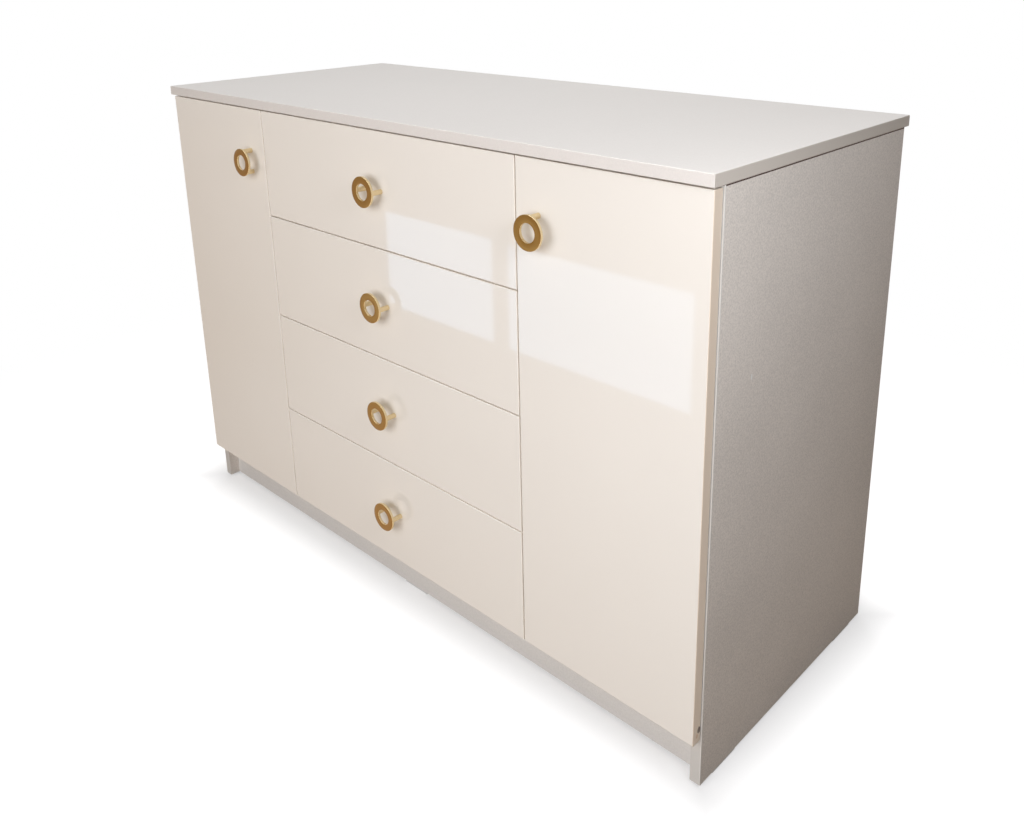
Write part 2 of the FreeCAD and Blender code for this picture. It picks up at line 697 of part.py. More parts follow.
def make_box_side():
    """Drawer box side, from its front lower corner, grooved for the bottom."""
    body = new_body("box_side")
    face = rectangle(new_sketch(body, "YZ_Plane"), ("0", "0"), ("box_length", "box_height"))
    extrude(body, "Pad", face, "board")
    groove = new_sketch(body, "YZ_Plane", "board")
    rectangle(groove, ("0", "groove_rise"),
              ("box_length", "groove_rise + bottom_thickness + groove_clearance"))
    extrude(body, "Pocket", groove, "groove_depth")
    return body


def make_drawer_front(name):
    """Drawer front, grooved for the bottom."""
    body = soft_front(name, "2 * drawer_half", "drawer_height")
    groove = new_sketch(body, "XZ_Plane", "-board")
    reach = "box_half - board + groove_depth"
    rectangle(groove, (f"drawer_half - ({reach})", "box_rise + groove_rise"),
              (f"drawer_half + {reach}",
               "box_rise + groove_rise + bottom_thickness + groove_clearance"))
    extrude(body, "Pocket", groove, "groove_depth", True)
    return body


def make_drawers(handle):
    """Four drawers: front, box, handle, and the slide members that travel."""
    cabinet, middle, inner, retainers = make_slide_members()
    slide_y = "carcass_front + slide_setback"
    cabinet_spots = []
    box_side = make_box_side()
    for number in DRAWERS:
        name = f"drawer_{number}"
        low = drawer_low(number)
        box_low = f"{low} + box_rise"
        face = make_drawer_front(f"{name}_face")
        keep(place(face, "-drawer_half", "front_face", low), f"{name}_front")
        spots = [("-box_half", "front_rear", box_low, NO_TURN),
                 ("box_half", "front_rear + box_length", box_low, ABOUT_Z)]
        keep(gather(f"{name}_sides", copies(f"{name}_side", box_side, spots)), f"{name}_box_sides")
        inside = "box_half - board"
        above = "groove_rise + bottom_thickness + groove_clearance"
        back = facing_board(f"{name}_rear", (f"-({inside})", above), (inside, "box_height"), "board")
        place(back, f"-({inside})", "front_rear + box_length - board", f"{box_low} + {above}")
        keep(back, f"{name}_box_back")
        edge = "box_half - board + groove_depth - groove_clearance"
        floor = flat_board(f"{name}_floor",
                           (f"-({edge})", "front_rear - groove_depth + groove_clearance",
                            f"{box_low} + groove_rise + groove_clearance / 2"),
                           (edge, "front_rear + box_length", "bottom_thickness"))
        keep(floor, f"{name}_bottom")
        add_handle(name, handle, "0", f"{low} + drawer_height / 2", NO_TURN)
        pair = [(f"{sign} * partition_inner", slide_y, slide_z(number),
                 NO_TURN if sign < 0 else ABOUT_Y) for _, sign in SIDES]
        cabinet_spots += pair
        keep(gather(f"{name}_inner", copies(f"{name}_inner_copy", inner, pair)),
             f"{name}_slide_inner")
        riding = copies(f"{name}_middle_copy", middle, pair)
        for part, retainer in enumerate(retainers):
            for end in ENDS:
                along = f"{slide_y} + {end} * (slide_length - middle_shorter - retainer_length)"
                ran = [(x, along, z, turn) for x, _, z, turn in pair]
                riding += copies(f"{name}_run_{part}_{end}", retainer, ran)
        keep(gather(f"{name}_middle", riding), f"{name}_slide_middle")
    keep(gather("cabinet_set", copies("cabinet_copy", cabinet, cabinet_spots)), "slide_cabinet_members")


def check_and_write():
    """Refuse any failed object or bad shape, then write one STEP file for each sub-part."""
    doc.recompute()
    for item in doc.Objects:
        if {"Invalid", "Error"} & set(item.State):
            raise RuntimeError(f"{item.Label} failed: {item.State}")
    os.makedirs("parts", exist_ok=True)
    for item in nodes:
        shape = item.Shape
        if shape.isNull() or not shape.isValid() or not shape.Solids:
            raise RuntimeError(f"{item.Label} has no valid solid")
        shape.exportStep(f"parts/{item.Label}.step")
    print(f"{len(nodes)} sub-parts written")


fill_sheet("sizes", SIZES, str)
fill_sheet("places", PLACES, lambda formula: "=" + tied(formula))
make_carcass()
make_hinge_seats()
grip = make_handle()
make_doors(grip)
make_drawers(grip)
check_and_write()
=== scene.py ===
import math
import bmesh
import bpy
from mathutils import Matrix, Vector


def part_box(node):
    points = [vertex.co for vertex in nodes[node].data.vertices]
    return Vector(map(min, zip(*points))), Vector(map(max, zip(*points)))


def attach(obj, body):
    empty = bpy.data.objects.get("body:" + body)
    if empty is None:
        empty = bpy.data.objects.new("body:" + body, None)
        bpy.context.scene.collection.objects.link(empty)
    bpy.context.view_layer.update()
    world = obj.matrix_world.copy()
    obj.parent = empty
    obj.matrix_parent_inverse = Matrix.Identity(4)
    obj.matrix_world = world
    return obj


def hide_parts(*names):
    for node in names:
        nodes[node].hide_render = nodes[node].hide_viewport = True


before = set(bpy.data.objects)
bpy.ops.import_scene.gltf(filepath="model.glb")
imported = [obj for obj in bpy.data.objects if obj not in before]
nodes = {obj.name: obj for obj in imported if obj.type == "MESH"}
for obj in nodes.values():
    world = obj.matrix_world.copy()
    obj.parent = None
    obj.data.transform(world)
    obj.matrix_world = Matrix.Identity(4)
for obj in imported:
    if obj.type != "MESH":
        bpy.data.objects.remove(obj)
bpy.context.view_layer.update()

# ---- Camera ------------------------------------------------------------------------------
# A moderately wide lens about a metre above the floor, off the right front corner, turned a
# little downward. It is shifted in its mount, so its frame lies lower and slightly further left.
eye = Vector((1.13428, -1.08457, 1.04972))
yaw, pitch, roll = (math.radians(angle) for angle in (43.3316, 16.3742, -0.8358))
ahead = Vector((-math.sin(yaw) * math.cos(pitch), math.cos(yaw) * math.cos(pitch), -math.sin(pitch)))
sideways = Vector((math.cos(yaw), math.sin(yaw), 0))
above = sideways.cross(ahead)
across = sideways * math.cos(roll) + above * math.sin(roll)
upward = above * math.cos(roll) - sideways * math.sin(roll)
stance = Matrix((across, upward, -ahead)).transposed().to_4x4()
stance.translation = eye
lens = bpy.data.cameras.new("still_camera")
lens.lens = 33.505
lens.sensor_width = 36
lens.shift_x = -0.02321
lens.shift_y = -0.16667
camera = bpy.data.objects.new("still_camera", lens)
camera.matrix_world = stance
bpy.context.scene.collection.objects.link(camera)
bpy.context.scene.camera = camera
bpy.context.scene.view_settings.view_transform = "Standard"


# ---- Floor, air and lamps ----------------------------------------------------------------
# A pale seamless floor of matt vinyl, warmer in its mirror image and with painted shade round the boards,
# under a white surround. Soft boxes light it: two over the top, a near one and a wide one in front, two
# small ones by the right side, one for the back.
def tint(code):
    """Linear colour of an sRGB hex code."""
    parts = [int(code[i:i + 2], 16) / 255 for i in (1, 3, 5)]
    return tuple(c / 12.92 if c <= 0.04045 else ((c + 0.055) / 1.055) ** 2.4 for c in parts) + (1,)


def put(tree, kind, settings=(), links=()):
    """Add a shader node with its options, its sockets' values and its links by socket name."""
    node = tree.nodes.new("ShaderNode" + kind)
    for name, value in dict(settings).items():
        if isinstance(name, str) and hasattr(node, name):
            setattr(node, name, value)
        else:
            node.inputs[name].default_value = value
    for socket, output in dict(links).items():
        tree.links.new(output, node.inputs[socket])
    return node


def blend(tree, share, under, over):
    """Colour that goes from one to another by a share; each is a hex code or a socket."""
    node = put(tree, "Mix", {"data_type": "RGBA"}, {0: share})
    for socket, colour in ((6, under), (7, over)):
        if isinstance(colour, str):
            node.inputs[socket].default_value = tint(colour)
        else:
            tree.links.new(colour, node.inputs[socket])
    return node.outputs[2]


def smooth_step(tree, value, start, end, low=0, high=1):
    """Value that goes softly from low to high while another goes from start to end."""
    return put(tree, "MapRange", {"interpolation_type": "SMOOTHSTEP", "From Min": start, "From Max": end,
                                  "To Min": low, "To Max": high}, {"Value": value}).outputs[0]


SHARP_ANGLE = math.radians(35)


def new_piece(name, mesh, finish):
    """Object at the origin from a bmesh, with one finish; its smooth faces keep their sharp edges."""
    data = bpy.data.meshes.new(name)
    mesh.to_mesh(data)
    mesh.free()
    data.materials.append(finish)
    data.shade_smooth()
    data.set_sharp_from_angle(angle=SHARP_ANGLE)
    piece = bpy.data.objects.new(name, data)
    bpy.context.scene.collection.objects.link(piece)
    return piece


def seen_directly(tree):
    """1 for rays from the camera, a mirror or glass, and 0 for rays that only light things."""
    path = put(tree, "LightPath")
    either = put(tree, "Math", {"operation": "MAXIMUM"},
                 {0: path.outputs["Is Camera Ray"], 1: path.outputs["Is Glossy Ray"]})
    return put(tree, "Math", {"operation": "MAXIMUM"},
               {0: either.outputs[0], 1: path.outputs["Is Transmission Ray"]}).outputs[0]


# Distances on the floor in metres: the painted shade's from the outline of the boards, the others'
# from the middle of the floor.
FOOT_MIDDLE, FOOT_HALF = (0, 0.013, 0), (0.6, 0.233, 0)
SHADE_STARTS, SHADE_ENDS = -0.02, 0.09
PAINTED_SHADE_GLOW, OPEN_LIGHT = 0.45, 0.82
WHITE_STARTS, WHITE_ENDS = 0.8, 1.6
WARMTH_STARTS, WARMTH_ENDS = 3, 14
FLOOR_HALF = 30
vinyl = bpy.data.materials.new("matt_vinyl_sweep")
vinyl.use_nodes = True
tree = vinyl.node_tree
tree.nodes.clear()
body_colour = put(tree, "BsdfDiffuse", {"Color": tint("#806E58")})
place = put(tree, "TexCoord").outputs["Object"]
centred = put(tree, "VectorMath", {"operation": "SUBTRACT", 1: FOOT_MIDDLE}, {0: place})
sized = put(tree, "VectorMath", {"operation": "ABSOLUTE"}, {0: centred.outputs[0]})
beyond = put(tree, "VectorMath", {"operation": "SUBTRACT", 1: FOOT_HALF}, {0: sized.outputs[0]})
split = put(tree, "SeparateXYZ", (), {0: beyond.outputs[0]})
gap = put(tree, "Math", {"operation": "MAXIMUM"}, {0: split.outputs["X"], 1: split.outputs["Y"]})
# The floor's own glow is dimmed under and around the boards. This is painted shade, and the diffuse layer
# still takes the real shadow on top of it.
light = smooth_step(tree, gap.outputs[0], SHADE_STARTS, SHADE_ENDS, PAINTED_SHADE_GLOW, OPEN_LIGHT)
shadow_layer = put(tree, "BsdfDiffuse", {"Color": tint("#C4C4C4")})
reach = put(tree, "VectorMath", {"operation": "LENGTH"}, {0: place}).outputs["Value"]
fading = smooth_step(tree, reach, WARMTH_STARTS, WARMTH_ENDS, 1, 0)
image = put(tree, "Math", {"operation": "MULTIPLY"},
            {0: put(tree, "LightPath").outputs["Is Glossy Ray"], 1: fading})
warmed = blend(tree, image.outputs[0], "#FFFFFF", "#FFE2C4")
dimmed = put(tree, "Emission", (), {"Strength": light, "Color": warmed})
near = put(tree, "AddShader", (), {0: dimmed.outputs[0], 1: shadow_layer.outputs[0]})
away = smooth_step(tree, reach, WHITE_STARTS, WHITE_ENDS)
white = put(tree, "Emission", {"Strength": 1}, {"Color": warmed})
shown = put(tree, "MixShader", (), {0: away, 1: near.outputs[0], 2: white.outputs[0]})
mixed = put(tree, "MixShader", (), {0: seen_directly(tree), 1: body_colour.outputs[0], 2: shown.outputs[0]})
put(tree, "OutputMaterial", (), {"Surface": mixed.outputs[0]})
mesh = bmesh.new()
bmesh.ops.create_grid(mesh, x_segments=1, y_segments=1, size=FLOOR_HALF)
floor = new_piece("floor", mesh, vinyl)

surround = bpy.data.worlds.new("surround")
surround.use_nodes = True
bpy.context.scene.world = surround
tree = surround.node_tree
tree.nodes.clear()
fill = put(tree, "Background", {"Color": tint("#FFC8A8"), "Strength": 0.018})
white = put(tree, "Background", {"Color": tint("#FFFFFF"), "Strength": 1})
mixed = put(tree, "MixShader", (), {0: seen_directly(tree), 1: fill.outputs[0], 2: white.outputs[0]})
put(tree, "OutputWorld", (), {"Surface": mixed.outputs[0]})


def soft_box(name, spot, size, power, colour):
    """Rectangular lamp, in watts, that the camera doesn't see."""
    lamp = bpy.data.lights.new(name, "AREA")
    lamp.shape = "RECTANGLE"
    lamp.size, lamp.size_y = size
    lamp.energy = power
    lamp.color = tint(colour)[:3]
    box = bpy.data.objects.new(name, lamp)
    box.location = spot
    box.visible_camera = False
    bpy.context.scene.collection.objects.link(box)
    return box


# Each one's name, spot, target, size, power, colour and whether mirrors show it.
LAMPS = (
    ("overhead", (-0.3, 0.3, 2.7), (-0.3, 0.3, 0), (1.6, 1.6), 23.6, "#FFFFFF", True),
    ("overhead_right", (0.7, -0.2, 2.2), (0.5, -0.1, 0.8), (0.8, 0.8), 3.2, "#FFFFFF", True),
    ("frontal", (0.72, -2.2, 1.2), (0.2, 0, 0.45), (2.2, 1.7), 36.6, "#F8FAFF", False),
    ("frontal_wide", (0.0, -2.6, 1.0), (0.1, 0, 0.45), (2.8, 1.9), 15.8, "#FFEEDC", False),
    ("corner", (1.3, -0.55, 1.15), (0.6, -0.2, 0.5), (0.4, 0.4), 4.7, "#F8FAFF", False),
    ("beside", (0.95, -0.42, 1.15), (0.6, -0.22, 0.65), (0.3, 0.3), 0.5, "#FFFFFF", False),
    ("rearward", (-2.4, 2.6, 0.6), (0, 0, 0.4), (1.5, 1.0), 45, "#FFFFFF", False),
)
for name, spot, target, size, power, colour, mirrored in LAMPS:
    box = soft_box(name, spot, size, power, colour)
    box.rotation_euler = (Vector(target) - Vector(spot)).to_track_quat("-Z", "Y").to_euler()
    box.visible_glossy = mirrored

# Two low panels that only gloss picks up: their images lie on the drawers and the right door.
# Their glow is in watts for each square metre.
PANE_PLANE, PANE_GLOW = -1.04, 7
for name, left, right, low, high in (("pane_left", -1.023, -0.583, 0.063, 0.352),
                                     ("pane_right", -0.524, 0.047, 0.060, 0.347)):
    size = (right - left, high - low)
    spot = ((left + right) / 2, PANE_PLANE, (low + high) / 2)
    box = soft_box(name, spot, size, PANE_GLOW * size[0] * size[1], "#B2DAFF")
    box.rotation_euler = (math.radians(90), 0, 0)
    box.visible_diffuse = False


# ---- Carcass boards ----------------------------------------------------------------------
# Chipboard faced with white melamine paper, sawn to size, its front edges banded in white ABS.
# The press plate leaves a fine pearl; where no band is glued, the sawn chips show.
def new_finish(name):
    """A material with its node tree and its one Principled shader."""
    made = bpy.data.materials.new(name)
    made.use_nodes = True
    return made, made.node_tree, made.node_tree.nodes["Principled BSDF"]


def noise(tree, coords, grain, detail):
    """Noise in an object's own space, whose coarsest grain is given in metres."""
    return put(tree, "TexNoise", {"Scale": 1 / grain, "Detail": detail},
               {"Vector": coords.outputs["Object"]}).outputs["Fac"]


FACING_COSINE = 0.7


def facing(tree, coords, direction):
    """1 where the surface faces a direction of the object's own axes, and 0 elsewhere."""
    dot = put(tree, "VectorMath", {"operation": "DOT_PRODUCT", 1: direction},
              {0: coords.outputs["Normal"]})
    return put(tree, "Math", {"operation": "GREATER_THAN", 1: FACING_COSINE},
               {0: dot.outputs["Value"]}).outputs[0]


def relief(tree, shader, height, strength, depth):
    """Raise a shader's surface by a pattern, to a depth in metres."""
    bump = put(tree, "Bump", {"Strength": strength, "Distance": depth}, {"Height": height})
    tree.links.new(bump.outputs[0], shader.inputs["Normal"])


# Grains in metres, how much the cloud adds to the pearl, and the levels of their sum that the
# darker and the paler tone stand for.
PEARL, CLOUD, WOOD_CHIP, GRIT = 0.0022, 0.18, 0.0025, 0.0025
CLOUD_SHARE = 0.3
SHADE_LEVEL, TONE_LEVEL = 0.45, 0.85
BOARD_SHEEN, BOARD_ROUGHNESS = 0.05, 0.45


def melamine(name, tone, shade, raw, bands=(), upper_sheen=BOARD_SHEEN):
    """Pearl melamine on chipboard; raw lists the directions whose edges are left sawn, bands
    gives the tones of edge bands, and upper_sheen is the gloss of the face that is wiped."""
    made, tree, shader = new_finish(name)
    coords = put(tree, "TexCoord")
    pearl = noise(tree, coords, PEARL, detail=2)
    cloud = noise(tree, coords, CLOUD, detail=3)
    both = put(tree, "Math", {"operation": "MULTIPLY_ADD", 1: CLOUD_SHARE}, {0: cloud, 2: pearl})
    spread = put(tree, "MapRange", {"From Min": SHADE_LEVEL, "From Max": TONE_LEVEL},
                 {"Value": both.outputs[0]})
    colour = blend(tree, spread.outputs[0], shade, tone)
    chips = put(tree, "TexVoronoi", {"Scale": 1 / WOOD_CHIP}, {"Vector": coords.outputs["Object"]})
    grains = put(tree, "SeparateColor", (), {"Color": chips.outputs["Color"]})
    wood = blend(tree, grains.outputs[0], "#8C6B47", "#CDB088")
    for direction in raw:
        colour = blend(tree, facing(tree, coords, direction), colour, wood)
    for direction, band in bands:
        colour = blend(tree, facing(tree, coords, direction), colour, band)
    sheen = put(tree, "MapRange", {"To Min": BOARD_SHEEN, "To Max": upper_sheen},
                {"Value": facing(tree, coords, UP)})
    tree.links.new(sheen.outputs[0], shader.inputs["Specular IOR Level"])
    tree.links.new(colour, shader.inputs["Base Color"])
    relief(tree, shader, pearl, strength=0.5, depth=0.00012)
    shader.inputs["Roughness"].default_value = BOARD_ROUGHNESS
    return made


def mark(finish, tone, centre, reach, ragged=0.0):
    """Lay a tone over a finish inside an ellipsoid; ragged breaks up its outline."""
    tree = finish.node_tree
    shader = tree.nodes["Principled BSDF"]
    under = shader.inputs["Base Color"].links[0].from_socket
    coords = put(tree, "TexCoord")
    local = put(tree, "VectorMath", {"operation": "SUBTRACT", 1: centre}, {0: coords.outputs["Object"]})
    scaled = put(tree, "VectorMath", {"operation": "DIVIDE", 1: reach}, {0: local.outputs[0]})
    distance = put(tree, "VectorMath", {"operation": "LENGTH"}, {0: scaled.outputs[0]})
    grit = noise(tree, coords, GRIT, detail=2)
    uneven = put(tree, "Math", {"operation": "MULTIPLY_ADD", 1: ragged},
                 {0: grit, 2: distance.outputs["Value"]})
    inside = put(tree, "Math", {"operation": "LESS_THAN", 1: 1 + ragged / 2}, {0: uneven.outputs[0]})
    tree.links.new(blend(tree, inside.outputs[0], under, tone), shader.inputs["Base Color"])


def dress(finish, *names):
    """Give solid parts their finish."""
    for name in names:
        nodes[name].data.materials.clear()
        nodes[name].data.materials.append(finish)


RIGHT, LEFT = (1, 0, 0), (-1, 0, 0)
FRONT, BACK = (0, -1, 0), (0, 1, 0)
DOWN, UP = (0, 0, -1), (0, 0, 1)
side_paper = melamine("white_melamine_pearl_pressed", "#F0E9E1", "#D9D3CC", (DOWN, BACK),
                      bands=((FRONT, "#D4D2CE"),))

# A painted shadow line in the joint under the top, a painted highlight down each front arris, and one small
# nick on the right side's face.
MID_HEIGHT, ENDLESS = 0.4, 10
JOINT_RISE, JOINT_SHADOW_HALF = 0.0009, 0.0026
ARRIS_INSET, ARRIS_HIGHLIGHT_REACH = 0.0002, 0.0011
NICK_FROM_FRONT, NICK_HEIGHT, NICK_REACH = 0.077, 0.563, (0.002, 0.0015, 0.004)
side_low, side_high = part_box("side_right")
# Painted shadow: a dark line along the joint between the sides and the top.
mark(side_paper, "#54443F", (0, 0, side_high.z + JOINT_RISE), (ENDLESS, ENDLESS, JOINT_SHADOW_HALF))
# Painted highlight: a paler strip down the front arris of each side.
for way in (-1, 1):
    mark(side_paper, "#E6E4E0", (way * (side_high.x - ARRIS_INSET), side_low.y + ARRIS_INSET, MID_HEIGHT),
         (ARRIS_HIGHLIGHT_REACH, ARRIS_HIGHLIGHT_REACH, ENDLESS))
mark(side_paper, "#F4F3F0", (side_high.x, side_low.y + NICK_FROM_FRONT, NICK_HEIGHT), NICK_REACH, ragged=0.5)
dress(side_paper, "side_left", "side_right")
inner_paper = melamine("white_melamine_inner_boards", "#E5E2DE", "#DFDCD8", (BACK,))
dress(inner_paper, "partition_left", "partition_right", "bottom_panel", "shelves_left", "shelves_right")
plinth_paper = melamine("white_melamine_plinth_boards", "#E6E5E3", "#DEDDDB", (DOWN,))
dress(plinth_paper, "plinth_front", "plinth_rear")
top_paper = melamine("white_melamine_matt_top", "#E3DFDB", "#DFDBD7", (),
                     bands=((RIGHT, "#D5CEC5"), (LEFT, "#D5CEC5")), upper_sheen=0.3)
dress(top_paper, "top_panel")

# ---- Back and drawer bottoms -------------------------------------------------------------
# Three-millimetre hardboard, lacquered white on the side that is seen and left brown behind.
DRAWERS = (1, 2, 3, 4)
hardboard, tree, shader = new_finish("hardboard_lacquered_one_side")
coords = put(tree, "TexCoord")
fibre = noise(tree, coords, grain=0.003, detail=6)
brown = blend(tree, fibre, "#7A5836", "#A07C52")
lacquer = blend(tree, fibre, "#E6E3DE", "#EDEAE6")
colour = blend(tree, facing(tree, coords, BACK), lacquer, brown)
colour = blend(tree, facing(tree, coords, DOWN), colour, brown)
tree.links.new(colour, shader.inputs["Base Color"])
relief(tree, shader, fibre, strength=0.4, depth=0.0001)
shader.inputs["Roughness"].default_value = 0.55
dress(hardboard, "back_panel", *(f"drawer_{n}_bottom" for n in DRAWERS))


# ---- Metal fittings ----------------------------------------------------------------------
# Zinc-plated steel slides and shelf pins, die-cast zinc cams and plates, nickelled hinges.
RUBBED, DULLED = 0.06, 0.08


def plated(name, tone, rough):
    """Plated or cast metal: cool grey, with a faint uneven gloss from its handling."""
    made, tree, shader = new_finish(name)
    smear = noise(tree, put(tree, "TexCoord"), grain=0.006, detail=3)
    uneven = put(tree, "MapRange", {"To Min": rough - RUBBED, "To Max": rough + DULLED}, {"Value": smear})
    tree.links.new(uneven.outputs[0], shader.inputs["Roughness"])
    shader.inputs["Base Color"].default_value = tint(tone)
    shader.inputs["Metallic"].default_value = 1
    return made


steel = plated("zinc_plated_steel", "#B9BDC1", 0.3)
casting = plated("zinc_die_casting", "#A9ACAE", 0.42)
nickel = plated("nickelled_pressed_steel", "#C9C5BD", 0.2)
dress(steel, "shelf_pins", "slide_cabinet_members",
      *(f"drawer_{n}_slide_{part}" for n in DRAWERS for part in ("inner", "middle")))
dress(casting, "cam_locks", "hinge_plates")
dress(nickel, "hinge_arms", "door_left_cups", "door_right_cups")

# ---- Glides and felt pads ----------------------------------------------------------------
# Polyethylene glides nailed under the boards, moulded and slightly scuffed; square pads of
# pressed felt stuck to the partitions' edges take the fronts' knock.
plastic, tree, shader = new_finish("polyethylene_moulded")
scuff = noise(tree, put(tree, "TexCoord"), grain=0.004, detail=4)
tree.links.new(blend(tree, scuff, "#CED3D6", "#E2E5E6"), shader.inputs["Base Color"])
shader.inputs["Roughness"].default_value = 0.45
dress(plastic, "glides")
felt, tree, shader = new_finish("felt_pressed_white")
fuzz = noise(tree, put(tree, "TexCoord"), grain=0.0006, detail=4)
tree.links.new(blend(tree, fuzz, "#CFCBC4", "#EAE7E1"), shader.inputs["Base Color"])
relief(tree, shader, fuzz, strength=0.8, depth=0.0004)
shader.inputs["Roughness"].default_value = 0.95
shader.inputs["Sheen Weight"].default_value = 0.3
dress(felt, "bumpers")

# ---- Drawer boxes ------------------------------------------------------------------------
# Sides and backs of the same white board as the rest, their sawn rear ends unbanded.
box_paper = melamine("white_melamine_drawer_boards", "#E5E2DE", "#DFDCD8", (BACK,))
dress(box_paper, *(f"drawer_{n}_box_{part}" for n in DRAWERS for part in ("sides", "back")))

# ---- Doors and drawer fronts -------------------------------------------------------------
# MDF lacquered cream and polished to a high gloss, with bands of nearly its tone on the edges.
# The polish leaves a shallow wave, a few centimetres long, that only the reflections show.
EDGE_ROUGHNESS, FACE_ROUGHNESS = 0.35, 0.04
gloss, tree, shader = new_finish("cream_lacquer_polished")
coords = put(tree, "TexCoord")
cloud = noise(tree, coords, grain=0.25, detail=2)
front_on = facing(tree, coords, FRONT)
colour = blend(tree, front_on, "#FBF5EC", blend(tree, cloud, "#EBE8E2", "#EFECE6"))
rough = put(tree, "MapRange", {"To Min": EDGE_ROUGHNESS, "To Max": FACE_ROUGHNESS}, {"Value": front_on})
tree.links.new(colour, shader.inputs["Base Color"])
tree.links.new(rough.outputs[0], shader.inputs["Roughness"])
relief(tree, shader, noise(tree, coords, grain=0.03, detail=1), strength=1, depth=0.00001)
shader.inputs["IOR"].default_value = 1.5

# The doors' outer bands are a darker cream, and the right one has a chip near its foot: dark
# in its middle, with brown fibre beside it.
BAND_DEPTH = 0.0008
door_low, door_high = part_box("door_right_panel")
for way in (-1, 1):
    mark(gloss, "#E8DAC9", (way * door_high.x, (door_low.y + door_high.y) / 2, MID_HEIGHT),
         (BAND_DEPTH, ENDLESS, ENDLESS))
for tone, from_back, rise, reach in (("#50443B", 0.003, 0.0185, (0.002, 0.0032, 0.0052)),
                                     ("#D2B79C", 0.007, 0.0115, (0.002, 0.0022, 0.0036))):
    mark(gloss, tone, (door_high.x, door_high.y - from_back, door_low.z + rise), reach, ragged=1.0)
dress(gloss, "door_left_panel", "door_right_panel", *(f"drawer_{n}_front" for n in DRAWERS))

# ---- Handles -----------------------------------------------------------------------------
# Cast brass rings on two posts, turned, their faces brushed round and round to a satin and the rest
# polished. The faces' darker colour is a painted reflection of a dim surround, and the paler colour of
# the rest is partly a painted highlight. They are screwed on from behind the front.
BRUSHING = (3, 260, 1)
POLISHED_ROUGHNESS, BRUSHED_ROUGHNESS = 0.22, 0.36
brass, tree, shader = new_finish("brass_brushed_satin")
around = put(tree, "UVMap")
stretch = put(tree, "Mapping", {"Scale": BRUSHING}, {"Vector": around.outputs[0]})
brush = put(tree, "TexNoise", {"Scale": 4, "Detail": 3}, {"Vector": stretch.outputs[0]}).outputs["Fac"]
brushed_face_painted_darker = facing(tree, put(tree, "TexCoord"), FRONT)
# Darker faces are a painted reflection of a dim surround. Paler rims and posts are partly a painted
# highlight.
tone = blend(tree, brushed_face_painted_darker, "#E9D5AC", blend(tree, brush, "#7F6030", "#91703C"))
rough = put(tree, "MapRange", {"To Min": POLISHED_ROUGHNESS, "To Max": BRUSHED_ROUGHNESS},
            {"Value": brushed_face_painted_darker})
tree.links.new(tone, shader.inputs["Base Color"])
tree.links.new(rough.outputs[0], shader.inputs["Roughness"])
relief(tree, shader, brush, strength=0.6, depth=0.00003)
shader.inputs["Metallic"].default_value = 1
RING_OUTER, RING_INNER, RING_THICK, RING_ROUNDING = 0.024, 0.013, 0.004, 0.0005
POST, POST_OFFSET = 0.004, 0.0185
RING_STEPS, POST_SIDES = 96, 32


def ring_handle(name, node, body, upright):
    """Ring and posts at a solid handle's own place, facing the front."""
    low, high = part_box(node)
    centre = Vector(((low.x + high.x) / 2, 0, (low.z + high.z) / 2))
    mesh = bmesh.new()
    lines = mesh.loops.layers.uv.new("brushing")
    section = ((RING_INNER, 0), (RING_OUTER, 0), (RING_OUTER, RING_THICK), (RING_INNER, RING_THICK))
    face = mesh.faces.new([mesh.verts.new((radius, low.y + depth, 0)) for radius, depth in section])
    bmesh.ops.bevel(mesh, geom=face.verts[:], offset=RING_ROUNDING, segments=3, profile=0.5,
                    affect="VERTICES", material=-1)
    edges = mesh.edges[:]
    bmesh.ops.delete(mesh, geom=mesh.faces[:], context="FACES_ONLY")
    bmesh.ops.spin(mesh, geom=edges, cent=(0, 0, 0), axis=(0, 1, 0), angle=math.tau, steps=RING_STEPS,
                   use_merge=True)
    for sign in (-1, 1):
        at = Matrix.Translation((sign * POST_OFFSET, (low.y + high.y) / 2 + RING_THICK / 4, 0))
        bmesh.ops.create_cone(mesh, cap_ends=True, segments=POST_SIDES, radius1=POST, radius2=POST,
                              depth=high.y - low.y - RING_THICK / 2,
                              matrix=at @ Matrix.Rotation(math.radians(90), 4, "X"))
    bmesh.ops.recalc_face_normals(mesh, faces=mesh.faces[:])
    for face in mesh.faces:
        for corner in face.loops:
            x, _, z = corner.vert.co
            corner[lines].uv = (math.atan2(z, x) / math.tau, math.hypot(x, z))
    if upright:
        bmesh.ops.rotate(mesh, verts=mesh.verts[:], matrix=Matrix.Rotation(math.radians(90), 3, "Y"))
    bmesh.ops.translate(mesh, verts=mesh.verts[:], vec=centre)
    piece = new_piece(name, mesh, brass)
    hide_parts(node)
    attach(piece, body)


for side in ("left", "right"):
    ring_handle(f"door_{side}_ring_handle", f"door_{side}_handle", f"door_{side}", True)
for number in DRAWERS:
    ring_handle(f"drawer_{number}_ring_handle", f"drawer_{number}_handle", f"drawer_{number}", False)


# ---- Screws and panel pins ---------------------------------------------------------------
# Zinc-plated cross-head screws hold the hinges, slides, box corners and handles, their low pan
# heads cold-formed round a crossed recess. Round-headed pins hold the hardboard back.
# Shares of a head's radius and rise; HEAD_RINGS runs from the crown down to the seat.
HEAD_SIDES, HALF_A_SIDE = 12, math.radians(15)
RECESS_RADIUS, RECESS_WAIST = 0.62, 0.366
RECESS_TAPER, RECESS_FLOOR = 0.7, 0.3
HEAD_RINGS = ((0.82, 1), (1, 0.55), (1, 0))
PIN_SIDES, PIN_CROWN = 10, 0.6


